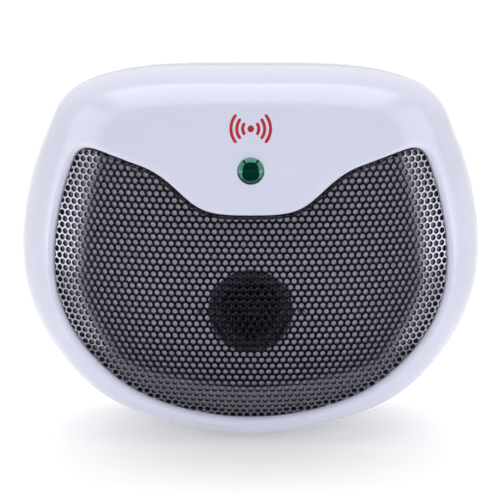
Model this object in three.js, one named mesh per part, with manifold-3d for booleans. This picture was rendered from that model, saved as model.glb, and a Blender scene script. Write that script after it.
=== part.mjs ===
// Ultrasonic pest repeller: a free-standing domed loudspeaker unit for a table or floor.
// Millimetres, +Z up, the grille faces -Y, the origin is under the middle of the base.
import * as THREE from "three";
import { mergeVertices } from "three/addons/utils/BufferGeometryUtils.js";
import Module from "manifold-3d";

const wasm = await Module();
wasm.setup();

// ---- driving dimensions ----
// The widest section of the body, where the two shells meet: half of the closed outline as
// (x, z) handles of a smooth curve, from the top centre round to the bottom centre.
const BODY_HANDLES = [
  [0, 105], [32, 105.4], [53, 98.6], [56.8, 87], [62.6, 74.4], [67.3, 40.2], [46.6, 11.4], [25.8, 4.8],
  [0, -0.6],
];
// Half of the grille opening in the front shell, as (x, z) points that its edge passes through.
const OPENING_POINTS = [
  [0, 67.5], [8, 67.6], [12.8, 68.7], [16.1, 70.6], [19.4, 73.6], [22.6, 76.6], [25.9, 79],
  [29.1, 80.6], [32.6, 81.7], [39.1, 83.8], [43.5, 85.1], [46.6, 85.2], [48.9, 83.2], [50, 80.4],
  [51.3, 76.8], [53.3, 69.8], [55, 60.6], [55.6, 51.5], [54.9, 44], [52.9, 37.6], [50.2, 32.4],
  [47.2, 28.2], [42.5, 23.2], [36.4, 18], [28.8, 13.7], [19, 10.4], [9.6, 8.8], [0, 8.3],
];
const APEX_Z = 56; // height of the front-most point of the dome
const DOME_DEPTH = 31; // from the parting plane to that point
const DOME_FULLNESS_ACROSS = 2.3; // exponent of the dome's curve, left to right
const DOME_FULLNESS_UPRIGHT = 4; // and top to bottom, where it is flatter
const PART_Y = -1.7; // parting plane of the two shells
const BACK_Y = 34; // flat back
const FRONT_Y = -34; // tip of the lens
const REAR_TAPER = 0.15; // share of its width that the rear shell loses by the back
const BACK_ROUND = 7; // radius round the back face
const WALL = 2.4; // shell wall
const SEAM = 0.3; // gap between the shells
const GAP = 0.3; // clearance between parts that are assembled
const TOUCH = 0.15; // clearance between parts that are clamped together

const OUTLINE_STEPS = 4; // points for each handle of the body outline
const DOME_RINGS = 8;
const SURFACE_TOLERANCE = 0.04; // flat enough that neighbouring triangles are merged

const MESH_SETBACK = 0.9; // the grille lies this far under the face of the shell
const MESH_THICKNESS = 0.8;
const MESH_FLANGE = 3.2; // depth, under the face of the shell, of the grille's folded edge
const CLAMP_DEPTH = [3.5, 4.6]; // front and back of the clamp ring, under the face of the shell
const CLAMP_OUTSIDE = 0.5; // the ring covers this much outside the opening
const CLAMP_INSIDE = 1.4; // and this much inside it

const BAFFLE_Y = [-11.5, -9.5];
const THROUGH_BAFFLE = [BAFFLE_Y[0] - 1, BAFFLE_Y[1] + 1]; // the length of a tool that cuts through it
const TWEETER_Z = 36;
const TWEETER_RADIUS = 11.7;
const LENS_Z = 80;
const LENS_RADIUS = 3.65;
const LENS_FLANGE_RADIUS = 4.9;
const LENS_FLANGE_Y = -28.7; // the lens's flange sits behind the shell wall
const LAMP_POCKET = 2.75; // radius of the pocket in the lens that the lamp stands in

const CASE_SCREWS = [[-45, 91], [45, 91], [-44.5, 19.5], [44.5, 19.5]];
const CASE_SCREW_HEAD_Y = 12;
const CASE_SCREW_TIP_Y = -8.2;
const FRONT_POST = { radius: 3.2, pilot: 1.4 }; // posts of the front shell that the case screws bite into
const REAR_POST = { radius: 4.6, hole: 1.7, recess: 3.1 }; // posts of the rear shell that they pass through
const BAFFLE_SCREW = [30, 95];
const BAFFLE_SCREW_TIP_Y = -20.4;
const BAFFLE_POST = { radius: 3, pilot: 1.2 };
const TWEETER_SCREW_X = 14.2;
const TWEETER_FRONT_Y = BAFFLE_Y[0] - 0.6;
const TWEETER_FLANGE_Y = BAFFLE_Y[1] + 2; // back of the flange
const TWEETER_BACK_Y = TWEETER_FLANGE_Y + 7.8;
const TWEETER_WALL = 1.4;

const LEAD_HOLE = 4.2; // radius of the hole in the baffle that the lamp's leads pass through
// Where the leads leave the lamp and the loudspeaker, and where they meet the main board.
const led = { x: 1.27, y: LENS_FLANGE_Y + 7.1, boardX: 3, boardZ: 74 };
const feed = { x: 4, y: TWEETER_BACK_Y - TWEETER_WALL / 2, boardX: 6, boardZ: 40 };

const BOARD_Y = [21, 22.6];
const BOARD_X = 38;
const BOARD_Z = [34, 78];
const BOARD_POSTS = [[-33, 39], [33, 39], [-33, 73], [33, 73]];
const BOARD_POST = { radius: 3, pilot: 1.2, depth: 7 };
const TRANSFORMER = [-20, 58];

const JACK_X = -20;
const JACK_Z = 47;
const JACK_BORE = 3.15;
const JACK_BORE_DEPTH = 9.5;
const JACK_NOSE = 4.2; // radius of the collar round the bore
const SWITCH_X = 18;
const SWITCH_Z = 47;
const SWITCH_TRAVEL = 4;
const KNOB = 4;

const FRONT_FOOT = { x: 6, y: -5, radius: 2.6, height: 3 }; // cut off at the top by the dome
const REAR_FOOT = { x: 25, y: 21, radius: 5.2, height: 2.2 };
const STAND_RADIUS = 6.4; // half depth and end radius of the moulded ridge that the rear feet are under
const STAND_TOP_Z = 20; // its top, inside the body

// ---- materials ----
const FINISH = {
  shell_white: [0xd9dbe6, 0.22, 0],
  mesh_black: [0x1b1a22, 0.42, 0.6],
  plastic_black: [0x17171a, 0.5, 0],
  baffle_white: [0xcfcfd6, 0.6, 0],
  lens_green: [0x0c5a42, 0.12, 0],
  led_body: [0x9fd8b4, 0.2, 0],
  brass: [0xb8923c, 0.35, 0.9],
  ceramic: [0xd8d2c4, 0.6, 0],
  board_green: [0x1f5c38, 0.5, 0],
  core_steel: [0x55585c, 0.45, 0.8],
  winding: [0xb06a2c, 0.4, 0.4],
  can_blue: [0x28304f, 0.35, 0.1],
  steel: [0xa4a7ab, 0.32, 0.9],
  foot_rubber: [0xb9bac2, 0.8, 0],
  wire_red: [0xa3201c, 0.5, 0],
  wire_black: [0x1a1a1c, 0.5, 0],
};

const group = new THREE.Group();
group.name = "ultrasonic_pest_repeller";

// ---- solids ----
// A closed geometry as a solid that booleans can use, turned outside out if it is inside out.
function solid(geometry) {
  geometry.deleteAttribute("normal");
  geometry.deleteAttribute("uv");
  const merged = mergeVertices(geometry, 1e-4);
  const points = merged.attributes.position.array;
  const corners = Array.from(merged.index.array);
  const faces = [];
  for (let i = 0; i < corners.length; i += 3) {
    const [a, b, c] = corners.slice(i, i + 3);
    if (a !== b && b !== c && c !== a) faces.push([a, b, c]);
  }
  const at = (index) => new THREE.Vector3().fromArray(points, index * 3);
  const volume = faces.reduce((sum, [a, b, c]) => sum + at(a).dot(at(b).cross(at(c))), 0);
  const outward = volume < 0 ? faces.map(([a, b, c]) => [a, c, b]) : faces;
  const mesh = new wasm.Mesh({
    numProp: 3,
    vertProperties: new Float32Array(points),
    triVerts: new Uint32Array(outward.flat()),
  });
  return new wasm.Manifold(mesh);
}

function add(name, body, finish) {
  const mesh = body.simplify(SURFACE_TOLERANCE).getMesh();
  const geometry = new THREE.BufferGeometry();
  geometry.setAttribute("position", new THREE.BufferAttribute(new Float32Array(mesh.vertProperties), 3));
  geometry.setIndex(new THREE.BufferAttribute(new Uint32Array(mesh.triVerts), 1));
  geometry.computeVertexNormals();
  const [color, roughness, metalness] = FINISH[finish];
  const node = new THREE.Mesh(geometry, new THREE.MeshStandardMaterial({ color, roughness, metalness }));
  node.name = name;
  group.add(node);
}

function block([xMin, xMax], [yMin, yMax], [zMin, zMax]) {
  const geometry = new THREE.BoxGeometry(xMax - xMin, yMax - yMin, zMax - zMin);
  geometry.translate((xMin + xMax) / 2, (yMin + yMax) / 2, (zMin + zMax) / 2);
  return solid(geometry);
}

// A block given by its middle and half sizes across and upright, and its two ends along Y.
function blockAt(x, z, halfX, halfZ, yRange) {
  return block([x - halfX, x + halfX], yRange, [z - halfZ, z + halfZ]);
}

function rodAlongY(radius, x, z, [yMin, yMax], sides = 20) {
  const geometry = new THREE.CylinderGeometry(radius, radius, yMax - yMin, sides);
  geometry.translate(x, (yMin + yMax) / 2, z);
  return solid(geometry);
}

function rodAlongZ(radius, x, y, [zMin, zMax], sides = 24) {
  const geometry = new THREE.CylinderGeometry(radius, radius, zMax - zMin, sides);
  geometry.rotateX(Math.PI / 2);
  geometry.translate(x, y, (zMin + zMax) / 2);
  return solid(geometry);
}

// A turned part about an axis along Y; the profile is a list of [radius, y].
function turned(profile, x, z, sides = 24) {
  const geometry = new THREE.LatheGeometry(profile.map(([r, y]) => new THREE.Vector2(r, y)), sides);
  geometry.translate(x, 0, z);
  return solid(geometry);
}

function wire(points, radius) {
  const path = new THREE.CatmullRomCurve3(points.map((point) => new THREE.Vector3(...point)));
  const section = new THREE.Shape().absarc(0, 0, radius, 0, Math.PI * 2);
  return solid(new THREE.ExtrudeGeometry(section, {
    steps: 12, curveSegments: 4, bevelEnabled: false, extrudePath: path,
  }));
}

// ---- outlines ----
function mirrored(half) {
  const inner = half.slice(1, -1).reverse().map(([x, z]) => [-x, z]);
  return [...half, ...inner];
}

// The smooth closed curve (a uniform cubic B-spline) that the handles pull on.
function smoothOutline(handles, steps) {
  const count = handles.length;
  const points = [];
  for (let i = 0; i < count; i += 1) {
    const near = [-1, 0, 1, 2].map((k) => handles[(i + k + count) % count]);
    for (let step = 0; step < steps; step += 1) {
      const t = step / steps;
      const weights = [
        (1 - t) ** 3, 3 * t ** 3 - 6 * t ** 2 + 4, -3 * t ** 3 + 3 * t ** 2 + 3 * t + 1, t ** 3,
      ];
      const blend = (axis) => near.reduce((sum, handle, k) => sum + handle[axis] * weights[k], 0) / 6;
      points.push([blend(0), blend(1)]);
    }
  }
  return points;
}

const bodyOutline = smoothOutline(mirrored(BODY_HANDLES), OUTLINE_STEPS);

// Each outline point as a distance and direction from the apex, with the dome's fullness there.
const spokes = bodyOutline.map(([x, z]) => {
  const reach = Math.hypot(x, z - APEX_Z);
  const along = [x / reach, (z - APEX_Z) / reach];
  const fullness = DOME_FULLNESS_ACROSS + (DOME_FULLNESS_UPRIGHT - DOME_FULLNESS_ACROSS) * along[1] ** 2;
  return { reach, along, fullness };
});

// A closed skin through rings of points, with a centre point at each end.
function skin(rings, startY, endY) {
  const count = spokes.length;
  const points = [[0, startY, APEX_Z], ...rings.flat(), [0, endY, APEX_Z]];
  const last = points.length - 1;
  const index = [];
  for (let i = 0; i < count; i += 1) {
    const next = (i + 1) % count;
    index.push(0, 1 + i, 1 + next);
    index.push(last, last - count + next, last - count + i);
    for (let ring = 0; ring < rings.length - 1; ring += 1) {
      const a = 1 + ring * count;
      const b = a + count;
      index.push(a + i, b + i, b + next, a + i, b + next, a + next);
    }
  }
  const geometry = new THREE.BufferGeometry();
  geometry.setAttribute("position", new THREE.BufferAttribute(new Float32Array(points.flat()), 3));
  geometry.setIndex(index);
  return solid(geometry);
}

function ringOf(place) {
  return spokes.map((spoke) => {
    const [reach, y] = place(spoke);
    return [spoke.along[0] * reach, y, APEX_Z + spoke.along[1] * reach];
  });
}

// The front dome, drawn in by `inset` all over, from its apex back to endY.
function dome(inset, endY) {
  const depth = DOME_DEPTH - inset;
  const rings = [];
  for (let i = 1; i <= DOME_RINGS; i += 1) {
    const share = Math.sin((i / DOME_RINGS) * (Math.PI / 2));
    rings.push(ringOf(({ reach, fullness }) => [
      (reach - inset) * share,
      PART_Y - depth * Math.max(0, 1 - share ** fullness) ** (1 / fullness),
    ]));
  }
  rings.push(ringOf(({ reach }) => [reach - inset, endY]));
  return skin(rings, PART_Y - depth, endY);
}

// The tapering rear body, drawn in by `inset` all over, from startY to the back face.
function tub(inset, startY) {
  const length = BACK_Y - PART_Y;
  const backY = BACK_Y - inset;
  const width = (y) => 1 - REAR_TAPER * (Math.max(0, y - PART_Y) / length) ** 1.5;
  const rings = [ringOf(({ reach }) => [reach - inset, startY])];
  for (const share of [0, 0.25, 0.5, 0.75, 1]) {
    const y = PART_Y + SEAM + (length - BACK_ROUND - SEAM) * share;
    rings.push(ringOf(({ reach }) => [reach * width(y) - inset, y]));
  }
  const round = Math.max(BACK_ROUND - inset, 1);
  for (const turn of [0.25, 0.5, 0.75, 1]) {
    const angle = turn * (Math.PI / 2);
    const y = backY - round + round * Math.sin(angle);
    rings.push(ringOf(({ reach }) => [reach * width(y) - inset - round * (1 - Math.cos(angle)), y]));
  }
  return skin(rings, startY, backY);
}

// A straight prism along Y over the grille opening's outline, grown outwards by `growth`.
function openingPrism(growth) {
  const path = mirrored(OPENING_POINTS).map(([x, z]) => new THREE.Vector2(x, z));
  const count = path.length;
  const grown = path.map((point, i) => {
    const before = path[(i - 1 + count) % count];
    const after = path[(i + 1) % count];
    const along = after.clone().sub(before).normalize();
    return new THREE.Vector2(point.x - along.y * growth, point.y + along.x * growth);
  });
  const length = DOME_DEPTH + 8;
  const geometry = new THREE.ExtrudeGeometry(new THREE.Shape(grown), { depth: length, bevelEnabled: false });
  geometry.rotateX(Math.PI / 2);
  geometry.translate(0, PART_Y - 1, 0);
  return solid(geometry);
}

const FRONT_SEAM_Y = PART_Y - SEAM / 2;
const REAR_SEAM_Y = PART_Y + SEAM / 2;
const sides = [["left", -1], ["right", 1]];

// ---- shells ----
function frontShell() {
  let shell = dome(0, FRONT_SEAM_Y).subtract(dome(WALL, PART_Y + 5));
  const inside = dome(WALL / 2, FRONT_SEAM_Y);
  CASE_SCREWS.forEach(([x, z]) => {
    const tip = z > APEX_Z ? PART_Y - DOME_DEPTH : BAFFLE_Y[1] + GAP;
    shell = shell.add(rodAlongY(FRONT_POST.radius, x, z, [tip, FRONT_SEAM_Y]).intersect(inside));
    shell = shell.subtract(rodAlongY(FRONT_POST.pilot, x, z, [CASE_SCREW_TIP_Y - 0.8, PART_Y + 5], 14));
  });
  for (const [, side] of sides) {
    const [x, z] = [BAFFLE_SCREW[0] * side, BAFFLE_SCREW[1]];
    const post = rodAlongY(BAFFLE_POST.radius, x, z, [PART_Y - DOME_DEPTH, BAFFLE_Y[0] - TOUCH]);
    shell = shell.add(post.intersect(inside));
    const pilot = rodAlongY(BAFFLE_POST.pilot, x, z, [BAFFLE_SCREW_TIP_Y - 0.8, BAFFLE_Y[1]], 14);
    shell = shell.subtract(pilot);
  }
  shell = shell.subtract(openingPrism(0));
  return shell.subtract(rodAlongY(LENS_RADIUS + TOUCH, 0, LENS_Z, [FRONT_Y - 4, LENS_FLANGE_Y + 5], 28));
}

function rearShell() {
  const standZ = [REAR_FOOT.height + TOUCH, STAND_TOP_Z];
  const standY = [REAR_FOOT.y - STAND_RADIUS, REAR_FOOT.y + STAND_RADIUS];
  let outer = tub(0, REAR_SEAM_Y).add(block([-REAR_FOOT.x, REAR_FOOT.x], standY, standZ));
  for (const [, side] of sides) {
    outer = outer.add(rodAlongZ(STAND_RADIUS, REAR_FOOT.x * side, REAR_FOOT.y, standZ, 24));
  }
  let shell = outer.subtract(tub(WALL, PART_Y - 5));
  const inside = tub(0.4, REAR_SEAM_Y);
  CASE_SCREWS.forEach(([x, z]) => {
    shell = shell.add(rodAlongY(REAR_POST.radius, x, z, [REAR_SEAM_Y, BACK_Y], 24).intersect(inside));
    shell = shell.subtract(rodAlongY(REAR_POST.hole, x, z, [PART_Y - 5, BACK_Y], 16));
    shell = shell.subtract(rodAlongY(REAR_POST.recess, x, z, [CASE_SCREW_HEAD_Y, BACK_Y + 5], 20));
  });
  const backWall = BACK_Y - WALL;
  BOARD_POSTS.forEach(([x, z]) => {
    shell = shell.add(rodAlongY(BOARD_POST.radius, x, z, [BOARD_Y[1] + TOUCH, backWall + 1], 18));
    const pilotEnd = BOARD_Y[1] + BOARD_POST.depth;
    shell = shell.subtract(rodAlongY(BOARD_POST.pilot, x, z, [BOARD_Y[1] - 1, pilotEnd], 14));
  });
  shell = shell.subtract(rodAlongY(JACK_NOSE + GAP, JACK_X, JACK_Z, [backWall - 1, BACK_Y + 1], 28));
  const slotHalf = (KNOB + SWITCH_TRAVEL) / 2 + GAP;
  return shell.subtract(blockAt(SWITCH_X, SWITCH_Z, slotHalf, KNOB / 2 + GAP, [backWall - 1, BACK_Y + 1]));
}

// ---- grille, clamp ring and baffle ----
function grille() {
  const blank = dome(MESH_SETBACK, FRONT_SEAM_Y).intersect(openingPrism(-GAP));
  const inside = openingPrism(-GAP - MESH_THICKNESS);
  const under = dome(MESH_SETBACK + MESH_THICKNESS, FRONT_SEAM_Y).intersect(inside);
  return blank.subtract(under).subtract(dome(MESH_FLANGE, PART_Y + 5));
}

function grilleClamp() {
  const band = dome(CLAMP_DEPTH[0], FRONT_SEAM_Y).subtract(dome(CLAMP_DEPTH[1], PART_Y + 5));
  return band.intersect(openingPrism(CLAMP_OUTSIDE)).subtract(openingPrism(-CLAMP_INSIDE));
}

function baffle() {
  let plate = block([-80, 80], BAFFLE_Y, [-10, 120]).intersect(dome(WALL + GAP, PART_Y));
  plate = plate.subtract(rodAlongY(TWEETER_RADIUS + GAP, 0, TWEETER_Z, THROUGH_BAFFLE, 40));
  plate = plate.subtract(rodAlongY(LEAD_HOLE, 0, LENS_Z, THROUGH_BAFFLE, 20));
  for (const [, side] of sides) {
    const [upperX, upperZ] = [CASE_SCREWS[1][0] * side, CASE_SCREWS[1][1]];
    plate = plate.subtract(rodAlongY(FRONT_POST.radius + GAP, upperX, upperZ, THROUGH_BAFFLE, 20));
    plate = plate.subtract(rodAlongY(1.6, BAFFLE_SCREW[0] * side, BAFFLE_SCREW[1], THROUGH_BAFFLE, 14));
    plate = plate.subtract(rodAlongY(1.1, TWEETER_SCREW_X * side, TWEETER_Z, THROUGH_BAFFLE, 12));
  }
  return plate;
}

// ---- loudspeaker ----
function tweeterHousing() {
  const outer = TWEETER_RADIUS;
  const inner = outer - TWEETER_WALL;
  const flange = 17;
  const flangeFront = BAFFLE_Y[1] + TOUCH;
  const floor = TWEETER_BACK_Y - TWEETER_WALL;
  let housing = turned([
    [0, TWEETER_BACK_Y], [outer, TWEETER_BACK_Y], [outer, TWEETER_FLANGE_Y], [flange, TWEETER_FLANGE_Y],
    [flange, flangeFront], [outer, flangeFront], [outer, TWEETER_FRONT_Y], [inner, TWEETER_FRONT_Y],
    [inner, floor], [0, floor],
  ], 0, TWEETER_Z, 28);
  for (const [, side] of sides) {
    const throughFlange = [flangeFront - 1, TWEETER_FLANGE_Y + 1];
    housing = housing.subtract(rodAlongY(1.4, TWEETER_SCREW_X * side, TWEETER_Z, throughFlange, 12));
    housing = housing.subtract(rodAlongY(0.9, feed.x * side, TWEETER_Z, [floor - 1, TWEETER_BACK_Y + 1], 10));
  }
  return housing;
}

function tweeterCone() {
  const rim = TWEETER_RADIUS - TWEETER_WALL - TOUCH;
  const y = TWEETER_FRONT_Y + 1.6;
  return turned([
    [0, y + 3.4], [2, y + 3.7], [3.6, y + 4.6], [4.4, y + 5.8], [rim - 1.2, y], [rim, y], [rim, y + 0.6],
    [rim - 1, y + 0.6], [4.5, y + 6.5], [3.6, y + 5.6], [2, y + 4.4], [0, y + 4],
  ], 0, TWEETER_Z, 24);
}

// ---- indicator ----
function ledLens() {
  const tip = FRONT_Y;
  const r = LENS_RADIUS;
  const flangeFront = LENS_FLANGE_Y;
  const flangeBack = LENS_FLANGE_Y + 1.1;
  return turned([
    [0, tip], [r * 0.38, tip + 0.16], [r * 0.7, tip + 0.68], [r * 0.92, tip + 1.5], [r, tip + 2.5],
    [r, flangeFront], [LENS_FLANGE_RADIUS, flangeFront], [LENS_FLANGE_RADIUS, flangeBack],
    [LAMP_POCKET, flangeBack], [LAMP_POCKET, flangeFront - 1.3], [0, flangeFront - 1.3],
  ], 0, LENS_Z, 24);
}

function statusLed() {
  const tip = LENS_FLANGE_Y - 1.1;
  const r = LAMP_POCKET - 0.25;
  return turned([
    [0, tip], [r * 0.55, tip + 0.4], [r * 0.88, tip + 1.3], [r, tip + 2.4], [r, tip + 7], [r + 0.4, tip + 7],
    [r + 0.4, tip + 8], [0, tip + 8],
  ], 0, LENS_Z, 16);
}

function ledClip() {
  const front = LENS_FLANGE_Y + 1.25;
  const hole = LAMP_POCKET;
  return turned([
    [hole, front], [LENS_FLANGE_RADIUS, front], [LENS_FLANGE_RADIUS, front + 1.4], [hole + 1.2, front + 3],
    [hole, front + 3], [hole, front],
  ], 0, LENS_Z, 20);
}

// ---- fasteners ----
function screw(x, z, { headRadius, headY, headHeight, shankRadius, tipY }) {
  const towards = Math.sign(tipY - headY);
  const headEnd = headY - towards * headHeight;
  return turned([
    [0, tipY], [shankRadius, tipY - towards * 0.8], [shankRadius, headY], [headRadius, headY],
    [headRadius * 0.85, headEnd], [0, headEnd],
  ], x, z, 14);
}

// ---- electronics ----
function mainBoard() {
  let board = block([-BOARD_X, BOARD_X], BOARD_Y, BOARD_Z);
  BOARD_POSTS.forEach(([x, z]) => {
    board = board.subtract(rodAlongY(1.5, x, z, [BOARD_Y[0] - 1, BOARD_Y[1] + 1], 14));
  });
  return board;
}

function transformerCore(x, z, y) {
  const core = blockAt(x, z, 11, 9, [y - 4.5, y + 4.5]);
  const windows = [-1, 1].map((side) => blockAt(x + 5.5 * side, z, 2.3, 6, [y - 5, y + 5]));
  return core.subtract(windows[0]).subtract(windows[1]);
}

function transformerCoil(x, z, y) {
  return blockAt(x, z, 7.4, 5.6, [y - 7, y + 7]).subtract(blockAt(x, z, 3.5, 7, [y - 4.8, y + 4.8]));
}

function dcJack() {
  const bodyEnd = BACK_Y - WALL - GAP;
  const mouth = BACK_Y - 0.5;
  const floor = mouth - JACK_BORE_DEPTH;
  return blockAt(JACK_X, JACK_Z, 4.6, 5.4, [BOARD_Y[1] + TOUCH, bodyEnd])
    .add(rodAlongY(JACK_NOSE, JACK_X, JACK_Z, [bodyEnd - 1, mouth], 28))
    .subtract(rodAlongY(JACK_BORE, JACK_X, JACK_Z, [floor, mouth + 1], 28))
    .add(rodAlongY(1, JACK_X, JACK_Z, [floor - 0.5, mouth - 1.5], 14));
}

const SWITCH_FACE_Y = BACK_Y - WALL - GAP;

function switchBody() {
  const slotHalf = 1 + SWITCH_TRAVEL / 2 + GAP;
  return blockAt(SWITCH_X, SWITCH_Z, 7, 4, [BOARD_Y[1] + TOUCH, SWITCH_FACE_Y])
    .subtract(blockAt(SWITCH_X, SWITCH_Z, slotHalf, 1.4, [SWITCH_FACE_Y - 3, SWITCH_FACE_Y + 1]));
}

// The knob rests at the off end, half of its travel to the left of the slot's middle.
function switchKnob() {
  const x = SWITCH_X - SWITCH_TRAVEL / 2;
  let knob = blockAt(x, SWITCH_Z, KNOB / 2, KNOB / 2, [SWITCH_FACE_Y + TOUCH, BACK_Y - 0.4]);
  for (const offset of [-1, 0, 1]) {
    knob = knob.subtract(blockAt(x + offset * 1.2, SWITCH_Z, 0.3, KNOB, [BACK_Y - 0.8, BACK_Y]));
  }
  return knob.add(blockAt(x, SWITCH_Z, 1, 1.1, [SWITCH_FACE_Y - 2.6, SWITCH_FACE_Y + 1]));
}

// ---- feet ----
function frontFoot(side) {
  const { x, y, radius, height } = FRONT_FOOT;
  return rodAlongZ(radius, x * side, y, [0, height], 28).subtract(dome(-TOUCH, PART_Y + 5));
}

function rearFoot(side) {
  const { x, y, radius, height } = REAR_FOOT;
  return rodAlongZ(radius, x * side, y, [0, height], 28);
}

// ---- assembly ----
add("front_shell", frontShell(), "shell_white");
add("rear_shell", rearShell(), "shell_white");
add("grille", grille(), "mesh_black");
add("grille_clamp", grilleClamp(), "plastic_black");
add("baffle", baffle(), "baffle_white");

add("tweeter_housing", tweeterHousing(), "plastic_black");
add("tweeter_cone", tweeterCone(), "plastic_black");
const discY = TWEETER_FRONT_Y + 8.3;
add("piezo_disc", rodAlongY(9, 0, TWEETER_Z, [discY, discY + 0.4], 24), "brass");
add("piezo_ceramic", rodAlongY(6.5, 0, TWEETER_Z, [discY + 0.5, discY + 0.9], 24), "ceramic");

add("led_lens", ledLens(), "lens_green");
add("status_led", statusLed(), "led_body");
add("led_clip", ledClip(), "plastic_black");

const place = ([x, z]) => `${z > APEX_Z ? "upper" : "lower"}_${x < 0 ? "left" : "right"}`;
const caseScrew = {
  headRadius: 2.8, headY: CASE_SCREW_HEAD_Y + TOUCH, headHeight: 2, shankRadius: 1.3, tipY: CASE_SCREW_TIP_Y,
};
const boardScrew = {
  headRadius: 2.4, headY: BOARD_Y[0] - TOUCH, headHeight: 1.6, shankRadius: 1.1, tipY: BOARD_Y[1] + 6.5,
};
for (const at of CASE_SCREWS) {
  add(`case_screw_${place(at)}`, screw(...at, caseScrew), "steel");
}
for (const at of BOARD_POSTS) {
  add(`board_screw_${place(at)}`, screw(...at, boardScrew), "steel");
}
const baffleScrew = {
  headRadius: 2.6, headY: BAFFLE_Y[1] + TOUCH, headHeight: 1.7, shankRadius: 1.1, tipY: BAFFLE_SCREW_TIP_Y,
};
const tweeterScrew = {
  headRadius: 2.1, headY: TWEETER_FLANGE_Y + TOUCH, headHeight: 1.5, shankRadius: 1, tipY: BAFFLE_Y[0],
};
const boardFace = BOARD_Y[0] - TOUCH;
for (const [name, side] of sides) {
  add(`baffle_screw_${name}`, screw(BAFFLE_SCREW[0] * side, BAFFLE_SCREW[1], baffleScrew), "steel");
  add(`tweeter_screw_${name}`, screw(TWEETER_SCREW_X * side, TWEETER_Z, tweeterScrew), "steel");
  const wireName = side < 0 ? "black" : "red";
  add(`led_lead_${wireName}`, wire([
    [led.x * side, led.y, LENS_Z],
    [led.x * side, led.y + 5, LENS_Z + 0.5],
    [led.x * side * 1.5, -2, LENS_Z - 2],
    [led.boardX * side, boardFace - 5, led.boardZ],
    [led.boardX * side, boardFace, led.boardZ],
  ], 0.5), `wire_${wireName}`);
  add(`speaker_lead_${wireName}`, wire([
    [feed.x * side, feed.y, TWEETER_Z],
    [feed.x * side, feed.y + 4, TWEETER_Z],
    [feed.x * side * 1.2, 9, TWEETER_Z + 2],
    [feed.boardX * side, boardFace - 4, feed.boardZ],
    [feed.boardX * side, boardFace, feed.boardZ],
  ], 0.7), `wire_${wireName}`);
  add(`front_foot_${name}`, frontFoot(side), "foot_rubber");
  add(`rear_foot_${name}`, rearFoot(side), "foot_rubber");
}

add("main_board", mainBoard(), "board_green");
add("transformer_core", transformerCore(...TRANSFORMER, boardFace - 7), "core_steel");
add("transformer_coil", transformerCoil(...TRANSFORMER, boardFace - 7), "winding");
add("driver_chip", blockAt(14, 62, 5, 3.2, [boardFace - 3.2, boardFace]), "plastic_black");
add("timing_crystal", blockAt(27, 62, 2.2, 5, [boardFace - 3.4, boardFace]), "steel");
add("supply_capacitor", rodAlongY(5, 4, 54, [boardFace - 13, boardFace], 20), "can_blue");
add("output_capacitor", rodAlongY(4, 20, 46, [boardFace - 11, boardFace], 20), "can_blue");
add("dc_jack", dcJack(), "plastic_black");
add("switch_body", switchBody(), "steel");
add("switch_knob", switchKnob(), "plastic_black");

export default group;
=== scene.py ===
"""Looks of an ultrasonic pest repeller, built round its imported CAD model."""

import math

import bmesh
import bpy
import numpy as np
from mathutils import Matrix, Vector
from mathutils.geometry import delaunay_2d_cdt


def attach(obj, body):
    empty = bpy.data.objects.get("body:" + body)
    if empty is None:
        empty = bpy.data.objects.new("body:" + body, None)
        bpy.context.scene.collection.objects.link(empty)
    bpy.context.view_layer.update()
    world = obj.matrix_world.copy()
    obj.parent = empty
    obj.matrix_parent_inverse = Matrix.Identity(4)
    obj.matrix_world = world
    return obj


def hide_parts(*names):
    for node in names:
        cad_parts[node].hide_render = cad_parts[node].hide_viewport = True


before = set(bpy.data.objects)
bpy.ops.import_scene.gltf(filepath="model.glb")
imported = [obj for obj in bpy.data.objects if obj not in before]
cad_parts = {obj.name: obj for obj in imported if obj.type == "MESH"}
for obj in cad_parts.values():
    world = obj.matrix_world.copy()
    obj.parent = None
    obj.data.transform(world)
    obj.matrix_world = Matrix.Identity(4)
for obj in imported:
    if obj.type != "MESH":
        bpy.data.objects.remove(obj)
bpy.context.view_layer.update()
MM = 0.001

# ---- driving dimensions, in millimetres, the same as the CAD model's ----
# Half of the outline where the shells meet: (x, z) handles of a smooth curve, top to bottom.
BODY_HANDLES = [
    (0, 105), (32, 105.4), (53, 98.6), (56.8, 87), (62.6, 74.4),
    (67.3, 40.2), (46.6, 11.4), (25.8, 4.8), (0, -0.6),
]
# Half of the grille opening's edge, as (x, z) handles.
OPENING_HANDLES = [
    (0, 67.5), (8, 67.6), (12.8, 68.7), (16.1, 70.6), (19.4, 73.6), (22.6, 76.6), (25.9, 79),
    (29.1, 80.6), (32.6, 81.7), (39.1, 83.8), (43.5, 85.1), (46.6, 85.2), (48.9, 83.2), (50, 80.4),
    (51.3, 76.8), (53.3, 69.8), (55, 60.6), (55.6, 51.5), (54.9, 44), (52.9, 37.6), (50.2, 32.4),
    (47.2, 28.2), (42.5, 23.2), (36.4, 18), (28.8, 13.7), (19, 10.4), (9.6, 8.8), (0, 8.3),
]
APEX_Z = 56.0
DOME_DEPTH = 31.0
FULLNESS_ACROSS = 2.3
FULLNESS_UPRIGHT = 4.0
PART_Y = -1.7
BACK_Y = 34.0
FRONT_Y = -34.0
REAR_TAPER = 0.15  # share of its width that the body loses towards the back
BACK_ROUND = 7.0
WALL = 2.4  # of the shells
SEAM = 0.3  # between the shells

LIP_ROUND = 1.5  # radius of the shell's edge round the opening
LIP_WALL = 0.9  # the straight wall below that edge
LIP_THICKNESS = 1.0
EDGE_SOFT = 0.12  # softening of the edges where the shells meet

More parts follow.
